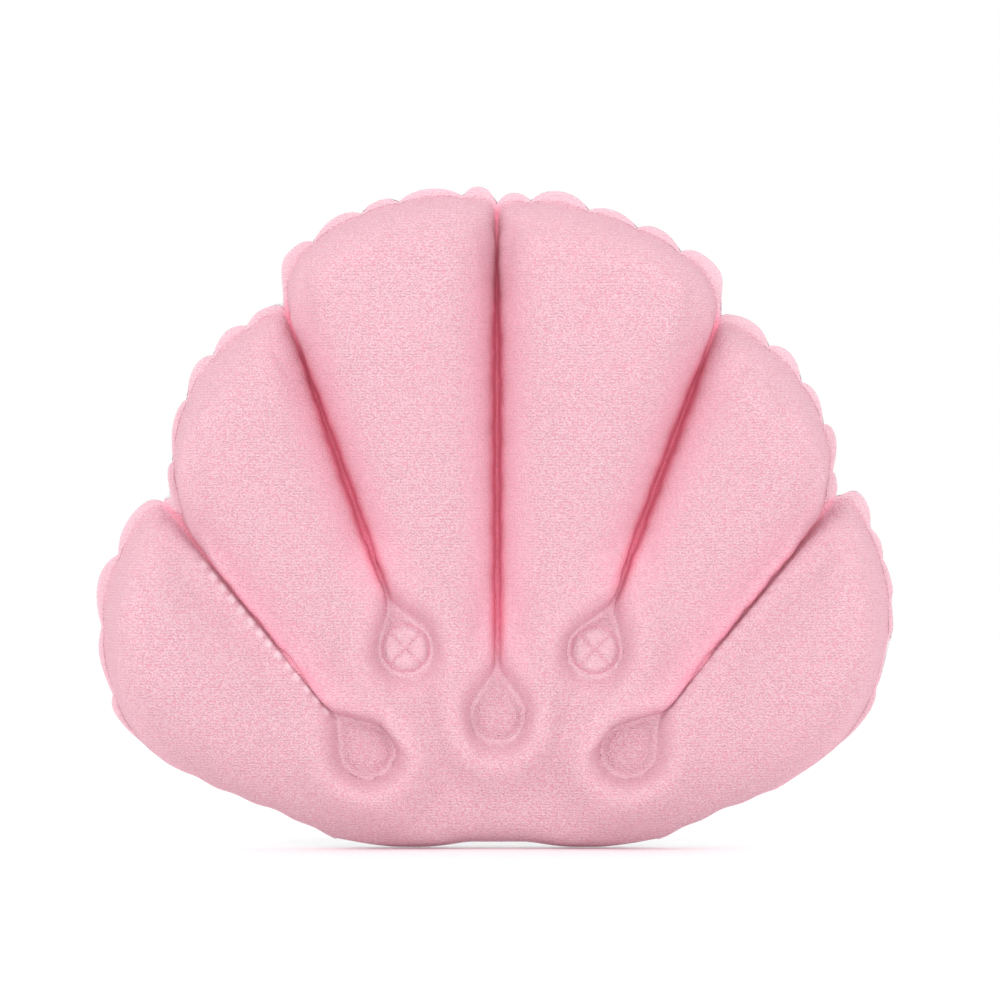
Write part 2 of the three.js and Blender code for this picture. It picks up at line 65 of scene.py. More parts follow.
FAN_DROP = 0.128  # fan point below the line of the two cups
EDGE_ANGLES = np.array((-67, -39.7, -19.6, -0.1, 20.6, 39.6, 67))
EDGE_RADII = (0.192, 0.269, 0.323, 0.356, 0.320, 0.270, 0.166)  # notches between the lobes
TIP_ARCS = (  # fan radius at both ends and bulge of each lobe's tip
    (0.192, 0.270, 0.0275), (0.248, 0.322, 0.0270), (0.337, 0.357, 0.0170),
    (0.357, 0.332, 0.0140), (0.318, 0.265, 0.0200), (0.275, 0.169, 0.0340),
)
NOTCH_SPREAD = 1.0  # degrees over which a tip falls to its notch
NOTCH_ANGLES = (
    (-66, -61.3, -54.6, -47.3), (-36.2, -31.4, -27.3, -23.5), (-15.5, -11.1, -8.1, -2.8),
    (2.7, 7.4, 11.6, 15.6), (25.8, 30, 34, 37.6), (44.5, 48.2, 52, 55.6, 60, 65),
)
NOTCH_DEPTH = 0.0096
NOTCH_HALF = 0.32  # degrees from the point of a notch to its mouth
WELD_SCALLOP = 0.0022  # how far the edge weld follows the notches
WELD_LINE = 0.0075  # edge weld, in from the tops of the scallops
END_FLANGE = 0.0070  # extra flange at the outer end of the inner lobes
END_SPREAD = 3.5  # degrees over which it widens
END_FADE = (-0.4, 2.6)  # degrees from an end over which the petals begin
END_ROUND = 0.018  # rounding of the outer lobes' lower ends
END_TURN = 4.0  # degrees over which they turn in
HEM_ROWS = 3
HEM_OUT = 0.0006  # how far the turned hem stands out past its weld
HEM_BACK = 0.0036  # how far it is turned to the back
HEM_TAPER = 0.35  # share of a lower side over which it tapers out
HEM_CORNER = 0.7  # share of the bottom hem that is left out at a corner
BASE_RISE = 0.0306  # bottom weld above the fan point
BASE_HOLLOW = 0.0028  # how far the middle of the bottom is drawn up
BASE_SPREAD = (20, 54)  # degrees over which it levels out
CORNER_ROUND = 0.016  # rounding between the bottom and the lower sides
CORNER_START = 58.5  # degrees
SIDE_RIPPLE = 0.0008  # wrinkles of the lower sides
SEAM_HALF = 0.0022  # half the width of a channel weld
WELD_PLANE = -0.032
SEAM_FORWARD = np.full(5, 0.004)  # channel welds are drawn to the fuller face
FACE_FORWARD = np.array((0.020, 0.004, 0.004, 0.004, 0.018))  # and the towelling more, on the outer two
FORWARD_SPREAD = 0.008  # to each side of a weld
CHANNEL_RUN = (0.015, 0.060, 0.012, 0.050)  # start and full draw above a teardrop and below the tip
PETAL_WAVE = 0.0022  # petals bend forward and back
DROP_FORWARD = 0.015  # towelling in the teardrops
DROP_SPREAD = 0.030  # and round them
DROP_TURN = (-0.022, 0.004)  # radius, from a teardrop, over which its weld narrows
SHOULDER_POWER = 2.7  # 2 is a round lobe, more is squarer
TIP_SHOULDER = 0.036
TIP_SETBACK = 0.0016  # lobe walls stay this far inside their tip weld
TIP_LEANS = np.array((0.17, 0.11, 0.08, 0.08, 0.09, 0.11))  # and lean in by this share of their height
FINGERTIPS = (  # teardrop, lobe that hangs over it, how far
    (0, 1, 0.0050), (4, 4, 0.0050), (1, 1, 0.0040), (3, 3, 0.0030),
)
CLEFTS = (  # strength and width of the painted red shade, start and full width
    (0.55, 0.0030, 0.010, 0.030), (1.0, 0.0065, 0.012, 0.090), (1.0, 0.0065, 0.030, 0.085),
    (1.0, 0.0065, 0.010, 0.060), (0.55, 0.0032, 0.010, 0.030),
)
TIP_GLOW_REACH = 0.032  # painted glow on the lobe ends, for light that shines through them
DROP_GLOW = 0.005  # and painted glow on the cloth round a teardrop
WALLS_MEET = 0.0012  # how far two walls close a cleft near its tip
WALLS_PART = 0.0007  # and stand back from it further down
WALL_OVER = 0.0018  # inner wall of an outer cleft leans over it
WALL_WAVER = 0.0004
WALL_RUN = (0.015, 0.045)  # radius, from a teardrop, over which the walls begin to press together
WALL_FOOT = (0.002, 0.012)  # height over which a wall begins to lean
OPEN_PRESS = 0.05  # share of the pressing on the open side of an outer cleft
OUTSIDE_PRESS = 0.1  # and on the outsides
TIP_PRESS = 0.2  # share at the tips
BASE_PRESS = 0.4  # and at the bottom
CLEFT_LEAST = 0.0030  # width of the painted red shade near a tip
CLEFT_RUN = (0.018, 0.050)  # radius, from a teardrop, over which the painted red shade begins
CLEFT_TIP = (0.004, 0.014)  # and distance from the tip over which it ends
CLEFT_HEIGHT = (0.040, 0.014)
GLOW_RUN = (0.005, 0.060)  # the same for the painted pink glow on the walls
GLOW_TIP = (0.010, 0.060)
GLOW_WIDTH = (0.024, 0.004)
GLOW_OUTER = (0.7, 0.15)  # share on the inner and the outer wall of an outer cleft
FILM_PEEK = (-19.2, 1.3, 0.0040)  # film seen in a notch: angle, spread and reach
BASE_SHOULDER = 0.024
LIFT_FINGERS = (0.085, 0.150)  # fan radii between the base and the separate lobes
CUT_FINGERS = (0.055, 0.150)
LIFT_BASE = 0.020  # first height of the base
LIFT_REACHES = (0.030, 0.034, 0.020, 0.014)  # rise beside side, tip, bottom and teardrop welds
DENT_DEPTH = 0.18  # share of the height lost at a notch
DENT_RUN = (0.004, 0.034)
CUT_BASE = 0.07  # extra width of the flat cut at the base
CUT_TIP = 0.45  # share of the extra width that is lost at the tip
CLOTH_FRAMES = 24

DROP_RADII = (0.101, 0.1362, 0.095, 0.1362, 0.101)  # fan radius of each teardrop's round end
DROP_ROUND = 0.015
DROP_POINT = 0.026
DASH_PITCH = 0.0072
DASH_PLACE = (0.0040, 0.0010)  # distance from the weld's middle, and half width
PAD_RADIUS = 0.0112  # crossed round pads
BEAD_PLACE = (0.0018, 0.0024)  # bead inside a teardrop's edge, and its half width
BEAD_RISE = 0.0007
PAD_RISE = 0.0010
DROP_RISE = 0.0020  # middle of a teardrop
DASH_RISE = 0.0003
TOWEL_THICKNESS = 0.0014

VALVE_Z = -0.069
VALVE_SEAT = -0.0161  # rear film under the valve's flange
VALVE_FOOT = -0.01522  # underside of the flange
SEAT_RADIUS = 0.0112
STEM_HOLE = 0.0062
FILM_THICKNESS = 0.0005
EDGE_ROUND = 0.00022  # softened edges of the moulded pieces
CUP_X = 0.046588
FLOOR_GAP = 0.0003
LENS = 200  # millimetres
SENSOR = 36
FIELD = 0.498  # width seen at the camera's aim
CAMERA_AIM = (0.001, -0.030, 0.0737)

DEGREE = math.pi / 180


# small helpers

def ease(x, start, end):
    """0 before start, 1 after end, smooth between."""
    x = np.clip((x - start) / (end - start), 0, 1)
    return x * x * (3 - 2 * x)


def shoulder(distance, reach):
    """Quarter-round rise from 0 at a weld to 1 at reach from it."""
    x = np.clip(distance / reach, 0, 1)
    return np.sqrt(np.maximum(1 - (1 - x) ** 2, 0))


def fan_point(radius, angle):
    """Plan point (x, z) at a fan radius and an angle from straight up."""
    return np.stack((radius * np.sin(angle * DEGREE), radius * np.cos(angle * DEGREE) - FAN_DROP), -1)


def fan_place(spots):
    """Fan radius and angle of plan points."""
    up = spots[..., 1] + FAN_DROP
    return np.hypot(spots[..., 0], up), np.arctan2(spots[..., 0], up) / DEGREE


def quarter_turn(share):
    """0 at share 0, where it starts level, and 1 at share 1, where it ends upright."""
    return 1 - np.sqrt(1 - np.clip(share, 0, 1) ** 2)


def lobe_at(angle):
    """Number of the lobe that each angle lies in, counted from the left."""
    return np.clip(np.searchsorted(EDGE_ANGLES, angle, side="right") - 1, 0, 5)


def tip_radius(angle):
    """Fan radius of the scallop tops: one arc per lobe between its two notches."""
    radius = np.zeros_like(angle)
    lobe = lobe_at(angle)
    for k in range(6):
        first, last, bulge = TIP_ARCS[k]
        start, end = fan_point(first, EDGE_ANGLES[k]), fan_point(last, EDGE_ANGLES[k + 1])
        chord = end - start
        arc = (chord @ chord / 4 + bulge ** 2) / (2 * bulge)
        outward = np.array((-chord[1], chord[0])) / np.linalg.norm(chord)
        middle = (start + end) / 2 + outward * (bulge - arc) + np.array((0, FAN_DROP))
        along = middle[0] * np.sin(angle * DEGREE) + middle[1] * np.cos(angle * DEGREE)
        reach = along + np.sqrt(np.maximum(along ** 2 - middle @ middle + arc ** 2, 0))
        from_start, from_end = angle - EDGE_ANGLES[k], EDGE_ANGLES[k + 1] - angle
        reach -= (first - EDGE_RADII[k]) * ease(NOTCH_SPREAD - from_start, 0, NOTCH_SPREAD)
        reach -= (last - EDGE_RADII[k + 1]) * ease(NOTCH_SPREAD - from_end, 0, NOTCH_SPREAD)
        radius = np.where(lobe == k, reach, radius)
    return radius - END_ROUND * quarter_turn(1 - (EDGE_ANGLES[6] - np.abs(angle)) / END_TURN)


def scallop(angle):
    """1 at the top of a scallop and 0 in the notch between two."""
    lobe = lobe_at(angle)
    rise = np.zeros_like(angle)
    for k in range(6):
        stops = np.array((EDGE_ANGLES[k],) + NOTCH_ANGLES[k] + (EDGE_ANGLES[k + 1],))
        i = np.clip(np.searchsorted(stops, angle, side="right") - 1, 0, len(stops) - 2)
        share = np.clip((angle - stops[i]) / (stops[i + 1] - stops[i]), 0, 1)
        height = 0.86 + 0.14 * np.sin(2.4 * i + 1.7 * k)
        rise = np.where(lobe == k, height * np.sin(math.pi * share) ** 0.3, rise)
    return rise


def weld_radius(angle):
    """Fan radius of the edge weld: inside the scallops, and deeper in at a lobe's outer end."""
    lobe = lobe_at(angle)
    from_end = np.where(lobe < 3, angle - EDGE_ANGLES[lobe], EDGE_ANGLES[lobe + 1] - angle)
    flange = END_FLANGE * ease(from_end, END_SPREAD, 0) * ((lobe > 0) & (lobe < 5))
    return tip_radius(angle) - WELD_LINE - WELD_SCALLOP * (1 - scallop(angle)) - flange


def drop_distance(spots, k):
    """Signed distance to teardrop weld k, and the way out from it."""
    angle = EDGE_ANGLES[k + 1]
    middle = fan_point(DROP_RADII[k], angle)
    up = np.array((math.sin(angle * DEGREE), math.cos(angle * DEGREE)))
    side = np.array((up[1], -up[0]))
    out = spots - middle
    x, y = out @ side, out @ up
    hand = np.where(x < 0, -1.0, 1.0)
    x = np.abs(x)
    lean = math.asin(DROP_ROUND / DROP_POINT)
    on_flank = y * math.cos(lean) > x * math.sin(lean)
    round_way = np.stack((x, y), -1) / np.maximum(np.hypot(x, y), 1e-9)[..., None]
    way = np.where(on_flank[..., None], np.array((math.cos(lean), math.sin(lean))), round_way)
    distance = np.where(on_flank, x * math.cos(lean) + y * math.sin(lean), np.hypot(x, y)) - DROP_ROUND
    return distance, (way[..., :1] * hand[..., None]) * side + way[..., 1:] * up


def nearest_drop(spots):
    """Signed distance to the nearest teardrop weld."""
    return np.min([drop_distance(spots, k)[0] for k in range(5)], axis=0)


# the two welded sheets

def columns_across(per_lobe):
    """Lobe, crowded and even share across it, hem share and weld mark of each grid column."""
    columns = [(0, 0.0, 0.0, 1 - k / HEM_ROWS, False) for k in range(HEM_ROWS)]
    for lobe in range(6):
        for i in range(per_lobe + 1):
            even = i / per_lobe
            crowded = 0.4 * even + 0.6 * (0.5 - 0.5 * math.cos(math.pi * even))
            columns.append((lobe, crowded, even, 0.0, False))
        if lobe < 5:
            columns.append((lobe, 1.0, 1.0, 0.0, True))
    columns += [(5, 1.0, 1.0, (k + 1) / HEM_ROWS, False) for k in range(HEM_ROWS)]
    return [np.array(values) for values in zip(*columns)]


class Sheet:
    """One welded sheet: a grid laid into the fan, with what each point knows about its place."""

    def __init__(self, per_lobe, rows, forward, peek=0.0):
        lobes, crowded, even_shares, hems, welds = columns_across(per_lobe)
        self.per_lobe = per_lobe
        self.across = len(lobes)
        self.along = rows + 1 + 2 * HEM_ROWS
        self.bm = bmesh.new()
        bmesh.ops.create_grid(self.bm, x_segments=self.across - 1, y_segments=self.along - 1, size=1)
        flat = np.array([v.co[:2] for v in self.bm.verts])
        column = np.rint((flat[:, 0] + 1) / 2 * (self.across - 1)).astype(int)
        row = np.rint((flat[:, 1] + 1) / 2 * (self.along - 1)).astype(int)
        self.lobe, self.share, self.even = lobes[column], crowded[column], even_shares[column]
        hem, seam = hems[column], welds[column]
        self.side_hem = hem
        self.base_hem = np.clip((HEM_ROWS - row) / HEM_ROWS, 0, 1)
        self.tip_hem = np.clip((row - HEM_ROWS - rows) / HEM_ROWS, 0, 1)
        even = np.clip((row - HEM_ROWS) / rows, 0, 1)
        self.t = 0.7 * even + 0.3 * (0.5 - 0.5 * np.cos(math.pi * even))
        self.seam_centre = seam
        self.lay(forward, peek)
        on_weld = seam | (self.share == 0) & (self.lobe > 0) | (self.share == 1) & (self.lobe < 5)
        self.seam_side = np.where(seam | (self.share == 1), self.lobe, self.lobe - 1)
        self.seam = on_weld & (hem == 0)
        self.pull_to_drops()

    def lay(self, forward, peek):
        """Plan places: columns fan out, rows run between the bottom and the tip weld."""
        hand = np.where(self.lobe == 0, -1, 1)
        first, last = EDGE_ANGLES[self.lobe], EDGE_ANGLES[self.lobe + 1]
        angle = first + (last - first) * self.share
        for _ in range(4):
            petal = scallop(angle)
            hollow = BASE_HOLLOW * (1 - ease(np.abs(angle), *BASE_SPREAD))
            turn = (np.abs(angle) - CORNER_START) / (EDGE_ANGLES[6] - CORNER_START)
            low = (BASE_RISE + hollow) / np.cos(angle * DEGREE) + CORNER_ROUND * quarter_turn(turn)
            tip = tip_radius(angle)
            high = weld_radius(angle)
            radius = low + (high - low) * self.t
            first_inset, last_inset = self.inset(radius, self.lobe - 1), self.inset(radius, self.lobe)
            left = first + np.arcsin(first_inset / radius) / DEGREE
            right = last - np.arcsin(last_inset / radius) / DEGREE
            share = self.even + (self.share - self.even) * self.crowding(radius)
            share += (self.on_notches(share) - share) * ease(self.t, 0.80, 0.97)
            angle = np.where(self.seam_centre, last, left + (right - left) * share)
        edge = tip - NOTCH_DEPTH * (1 - petal)
        edge += peek * ease(np.abs(angle - FILM_PEEK[0]), FILM_PEEK[1], 0)
        edge = high + (edge - high) * ease(EDGE_ANGLES[6] - np.abs(angle), *END_FADE)
        angle = angle + hand * np.arcsin(self.side_hem * HEM_OUT / radius) / DEGREE
        bottom_hem = HEM_OUT * self.base_hem * (1 - HEM_CORNER * self.side_hem)
        radius = radius + (edge - high) * self.tip_hem - bottom_hem
        self.radius, self.angle = radius, angle
        self.spot = fan_point(radius, angle)
        taper = ease(1 - self.t, 0, HEM_TAPER)
        self.back = HEM_BACK * np.maximum(self.side_hem * taper, self.base_hem)
        self.wave = PETAL_WAVE * self.tip_hem * (0.4 - petal)
        seam = np.clip(self.lobe - (self.share < 0.5), 0, 4)
        reach = np.array(DROP_RADII)[seam]
        above, full_above, below, full_below = CHANNEL_RUN
        channel = ease(radius, reach + above, reach + full_above) * ease(tip - radius, below, full_below)
        away = radius * np.sin((angle - EDGE_ANGLES[seam + 1]) * DEGREE)
        self.wave -= forward[seam] * channel * np.exp(-(away / FORWARD_SPREAD) ** 2)

    def crowding(self, radius):
        """1 where the columns crowd to the channel welds, 0 below the teardrops, where they are even."""
        seam = np.clip(np.where(self.share < 0.5, self.lobe - 1, self.lobe), 0, 4)
        reach = np.array(DROP_RADII)[seam]
        outside = (self.lobe == 0) & (self.share < 0.5) | (self.lobe == 5) & (self.share > 0.5)
        return np.where(outside, 1.0, ease(radius - reach, *DROP_TURN))

    def inset(self, radius, seam):
        """Half the width of the weld strip: narrow along the channels, one even column below them."""
        reach = np.array(DROP_RADII)[np.clip(seam, 0, 4)]
        even = radius * 20 * DEGREE / (self.per_lobe + 2)
        half = even + (SEAM_HALF - even) * ease(radius - reach, *DROP_TURN)
        ripple = SIDE_RIPPLE * (1 + np.sin(radius * 205 + seam) * np.sin(radius * 90))
        return np.where((seam < 0) | (seam > 4), HEM_OUT + ripple, half)

    def on_notches(self, share):
        """Shares shifted so that columns of each lobe run into each notch of its edge and beside it."""
        shifted = share.copy()
        for k in range(6):
            here = self.lobe == k
            stops = np.unique(self.share[here])
            gap = SEAM_HALF / (sum(TIP_ARCS[k][:2]) / 2) / DEGREE
            first = EDGE_ANGLES[k] + (gap if k > 0 else 0)
            last = EDGE_ANGLES[k + 1] - (gap if k < 5 else 0)
            wanted = (np.array(NOTCH_ANGLES[k]) - first) / (last - first)
            nearest = np.argmin(np.abs(stops[:, None] - wanted), axis=0)
            beside = NOTCH_HALF / (last - first)
            source = np.concatenate([stops[nearest + i] for i in (0, -1, 1)])
            target = np.concatenate([wanted + i * beside for i in (0, -1, 1)])
            source, kept = np.unique(source, return_index=True)
            inner = (source > 0) & (source < 1)
            target = target[kept][inner]
            shifted[here] = np.interp(share[here], [0.0, *source[inner], 1.0], [0.0, *target, 1.0])
        return shifted

    def pull_to_drops(self):
        """Moves points that lie near a teardrop weld onto it, and marks what the welds hold."""
        for k in range(5):
            distance, way = drop_distance(self.spot, k)
            near = (np.abs(distance) < 0.0014) & ~(self.seam & (distance > 0))
            self.spot = np.where(near[:, None], self.spot - way * distance[:, None], self.spot)
        self.radius, self.angle = fan_place(self.spot)
        self.drop = nearest_drop(self.spot)
        reach = np.array(DROP_RADII)[np.clip(self.seam_side, 0, 4)]
        self.hem = np.maximum(np.maximum(self.side_hem, self.base_hem), self.tip_hem)
        edge = (self.t == 0) | (self.t == 1) | (self.share == 0) & (self.lobe == 0)
        edge |= (self.share == 1) & (self.lobe == 5)
        self.held = edge | (self.hem > 0) | (self.drop < 3e-4) | self.seam & (self.radius > reach)
        self.forward = DROP_FORWARD * ease(self.drop, DROP_SPREAD, 0)

    def lift(self, fullness, deepest):
        """First, rough height of the air-filled shape above the weld plane."""
        width = self.radius * (EDGE_ANGLES[self.lobe + 1] - EDGE_ANGLES[self.lobe]) * DEGREE
        arch = 2 * np.sqrt(np.maximum(self.share * (1 - self.share), 0))
        fingers = ease(self.radius, *LIFT_FINGERS)
        side = np.where(self.lobe == 0, self.share, np.where(self.lobe == 5, 1 - self.share, 1.0))
        beside, under_tip, over_base, round_drop = LIFT_REACHES
        base = LIFT_BASE * shoulder(side * width, beside)
        height = base * (1 - fingers) + fullness * width / 2 * arch * fingers
        from_tip = weld_radius(self.angle) - self.radius
        from_base = self.spot[:, 1] + FAN_DROP - BASE_RISE
        height = height * shoulder(from_tip, under_tip) * shoulder(from_base, over_base)
        height = height * shoulder(self.drop, round_drop)
        dent = (1 - scallop(self.angle)) * (1 - ease(from_tip, *DENT_RUN))
        height = height * (1 - DENT_DEPTH * dent)
        return np.where(self.held, 0, np.minimum(height, deepest) + 2e-4)

    def cut_pattern(self, spread, length):
        """Where each point lies on the flat sheet before it is blown up, as (x, z)."""
        middle, outer = spread
        fingers = ease(self.radius, *CUT_FINGERS)
        flat = 1 - CUT_TIP * ease(self.t, 0.88, 1)
        inner_angle = np.clip(self.angle, EDGE_ANGLES[1], EDGE_ANGLES[5])
        outer_angle = self.angle - inner_angle
        angle = inner_angle * (1 + flat * (CUT_BASE + (middle - 1 - CUT_BASE) * fingers))
        angle += outer_angle * (1 + flat * (CUT_BASE + (outer - 1 - CUT_BASE) * fingers))
        return fan_point(self.radius * length, angle)


def cloth_blow_up(obj, held, pattern, pressure, frames, stiff):
    """Blows the sheet up from its flat cut with its welds held, and keeps the result."""
    obj.shape_key_add(name="laid")
    cut = obj.shape_key_add(name="cut")
    cut.value = 0
    flat = np.stack((pattern[:, 0], np.full(len(pattern), WELD_PLANE), pattern[:, 1]), -1)
    cut.data.foreach_set("co", flat.ravel())
    group = obj.vertex_groups.new(name="welds")
    group.add([int(i) for i in np.nonzero(held)[0]], 1.0, "REPLACE")
    air = obj.modifiers.new("Air", "CLOTH")
    set_up = air.settings
    set_up.quality = 6
    set_up.mass = 0.05
    set_up.air_damping = 5
    set_up.tension_stiffness = set_up.compression_stiffness = 40
    set_up.shear_stiffness = 20
    set_up.bending_stiffness = stiff
    set_up.tension_damping = set_up.compression_damping = set_up.shear_damping = 10
    set_up.vertex_group_mass = "welds"
    set_up.use_pressure = True
    set_up.uniform_pressure_force = pressure
    set_up.rest_shape_key = cut
    set_up.effector_weights.gravity = 0
    air.collision_settings.use_collision = False
    air.point_cache.frame_start = 1
    air.point_cache.frame_end = frames
    for step in range(1, frames + 1):
        bpy.context.scene.frame_set(step)
    shape = obj.evaluated_get(bpy.context.evaluated_depsgraph_get())
    blown = np.empty(len(held) * 3)
    shape.data.vertices.foreach_get("co", blown)
    bpy.context.scene.frame_set(1)
    obj.modifiers.clear()
    obj.shape_key_clear()
    obj.vertex_groups.clear()
    return blown.reshape(-1, 3)


def plumper(share):
    """Moves a point of a round wall to where the wall of a tight, squarer-shouldered lobe has it."""
    height = np.sqrt(np.maximum(1 - (1 - share) ** 2, 0))
    return 1 - (1 - np.clip(height, 0, 1) ** SHOULDER_POWER) ** (1 / SHOULDER_POWER)


def wall_cover(radius, lobe, seam):
    """How far a lobe's wall leans over the weld beside it, wavering a little along the cleft."""
    angle = EDGE_ANGLES[seam + 1]
    from_tip = tip_radius(angle) - radius
    start, full = np.array([c[2:] for c in CLEFTS]).T
    meet = WALLS_MEET * (1 - np.clip((from_tip - start[seam]) / (full - start)[seam], 0, 1))
    outer = (seam == 0) & (lobe == 1) | (seam == 4) & (lobe == 4)
    waver = np.sin(radius * 260 + 2 * seam + lobe) + np.sin(radius * 610 + 5 * lobe)
    inner = meet - WALLS_PART * (1 - meet / WALLS_MEET)
    return np.where(outer, WALL_OVER, inner) + WALL_WAVER * waver


def fuller(at, sheet):
    """Presses neighbouring lobes together, so that the clefts between them are narrow slots."""
    spots = at[:, (0, 2)]
    radius, angle = fan_place(spots)
    height = WELD_PLANE - at[:, 1]
    free = ~sheet.held
    lobe = sheet.lobe
    gap = np.arcsin(np.minimum(SEAM_HALF / radius, 1)) / DEGREE
    left, right = EDGE_ANGLES[lobe] + gap, EDGE_ANGLES[lobe + 1] - gap
    share = np.clip((angle - left) / (right - left), 0, 1)
    near = 2 * np.minimum(share, 1 - share)
    moved = plumper(near) / 2
    moved = np.where(share < 0.5, moved, 1 - moved)
    open_side = (lobe == 0) & (share > 0.5) | (lobe == 5) & (share < 0.5)
    seam = np.clip(np.where(share < 0.5, lobe - 1, lobe), 0, 4)
    tuft = np.array(DROP_RADII)[seam]
    outside = (lobe == 0) & (share < 0.5) | (lobe == 5) & (share > 0.5)
    along = ease(radius - tuft, *WALL_RUN)
    how = along * np.where(open_side, OPEN_PRESS, np.where(outside, OUTSIDE_PRESS, 1.0))
    angle = np.where(free, angle + (moved - share) * (right - left) * how, angle)
    cover = wall_cover(radius, lobe, seam) * along * (1 - near) ** 3 * ease(height, *WALL_FOOT)
    cover = np.where(free & ~open_side & ~outside, cover / radius / DEGREE, 0)
    angle = angle + np.where(share < 0.5, -1, 1) * cover
    away = np.clip((tip_radius(angle) - WELD_LINE - radius) / TIP_SHOULDER, 0, 1)
    radius = np.where(free, radius + (away - plumper(away)) * TIP_SHOULDER * TIP_PRESS, radius)
    over = np.maximum(radius - weld_radius(angle) + 3 * TIP_SETBACK + TIP_LEANS[lobe] * height, 0)
    radius = np.where(free, radius - over + 2 * TIP_SETBACK * np.tanh(over / TIP_SETBACK / 2), radius)
    spots = fan_point(radius, angle)
    up = spots[:, 1] + FAN_DROP - BASE_RISE
    away = np.clip(up / BASE_SHOULDER, 0, 1)
    inside = ease(BASE_RISE / math.cos(66 * DEGREE) - radius, -0.02, 0.01)
    spots[:, 1] -= np.where(free, (away - plumper(away)) * BASE_SHOULDER * BASE_PRESS * inside, 0)
    for k, own, reach in FINGERTIPS:
        distance, way = drop_distance(spots, k)
        pull = reach * ease(distance, 0, 0.004) * (1 - ease(distance, 0.006, 0.024))
        pull *= ease(height, DROP_FORWARD, DROP_FORWARD + 0.010) * ease(way[:, 1], -0.1, 0.5)
        spots = spots - way * np.where(free & (lobe == own), pull, 0)[:, None]
    return np.stack((spots[:, 0], at[:, 1], spots[:, 1]), -1)


def relaxed(obj, sheet, at):
    """Takes the pinched creases out of the base between the teardrops and out of the lobe tips."""
    bm = bmesh.new()
    bm.from_mesh(obj.data)
    for v, co in zip(bm.verts, at):
        v.co = co
    bm.verts.ensure_lookup_table()
    soft = ~sheet.held & ((sheet.radius < 0.165) | (sheet.t > 0.94))
    loose = [bm.verts[int(i)] for i in np.nonzero(soft)[0]]
    for _ in range(10):
        bmesh.ops.smooth_vert(bm, verts=loose, factor=0.5,
                              use_axis_x=True, use_axis_y=True, use_axis_z=True)
    at = np.array([v.co for v in bm.verts])
    bm.free()
    return at


def show(obj, material, body="pillow"):
    """Links a finished piece, gives it its finish and lets it ride."""
    if not obj.users_collection:
        bpy.context.scene.collection.objects.link(obj)
    obj.data.materials.clear()
    obj.data.materials.append(material)
    obj.data.shade_smooth()
    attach(obj, body)
    return obj


def blown_sheet(name, sheet, way, fullness, deepest, spread, length, pressure, stiff):
    """The sheet as an object, blown up towards the front (way -1) or the back (way 1)."""
    height = sheet.lift(fullness, deepest)
    y_flat = WELD_PLANE + sheet.back + sheet.wave
    if way < 0:
        y_flat = y_flat - sheet.forward
    y = y_flat + way * height
    for v, (x, z), depth in zip(sheet.bm.verts, sheet.spot, y):
        v.co = (x, depth, z)
    cut = sheet.cut_pattern(spread, length)
    if way > 0:
        bmesh.ops.reverse_faces(sheet.bm, faces=sheet.bm.faces)
    mesh = bpy.data.meshes.new(name)
    sheet.bm.to_mesh(mesh)
    sheet.bm.free()
    obj = bpy.data.objects.new(name, mesh)
    bpy.context.scene.collection.objects.link(obj)
    blown = cloth_blow_up(obj, sheet.held, cut, pressure, CLOTH_FRAMES, stiff)
    lifted = way * (blown[:, 1] - y_flat)
    print(name, "blown up by", round(float(lifted.max()) * 1000, 1), "mm")
    blown[:, 1] = y_flat + way * lifted * min(1, deepest / lifted.max())
    if way < 0:
        blown = fuller(blown, sheet)
    blown = relaxed(obj, sheet, blown)
    obj.data.vertices.foreach_set("co", blown.ravel())
    keep_on(obj, "floor", y_flat)
    return obj


def keep_on(obj, name, values):
    """Stores one number per point on the mesh."""
    layer = obj.data.attributes.new(name, "FLOAT", "POINT")
    layer.data.foreach_set("value", np.asarray(values, dtype=np.float32))


def subdivided(obj, levels):
    """Finer mesh of the same surface, applied."""
    fine = obj.modifiers.new("Fine", "SUBSURF")
    fine.levels = fine.render_levels = levels
    shape = obj.evaluated_get(bpy.context.evaluated_depsgraph_get())
    mesh = bpy.data.meshes.new_from_object(shape)
    obj.modifiers.clear()
    old = obj.data
    obj.data = mesh
    bpy.data.meshes.remove(old)
    return obj


def points_of(obj):
    """Places of a mesh's points, one row each."""
    co = np.empty(len(obj.data.vertices) * 3)
    obj.data.vertices.foreach_get("co", co)
    return co.reshape(-1, 3)


def stored(obj, name):
    """Numbers that keep_on stored, one per point."""
    values = np.empty(len(obj.data.vertices), dtype=np.float32)
    obj.data.attributes[name].data.foreach_get("value", values)
    return values


# finishes

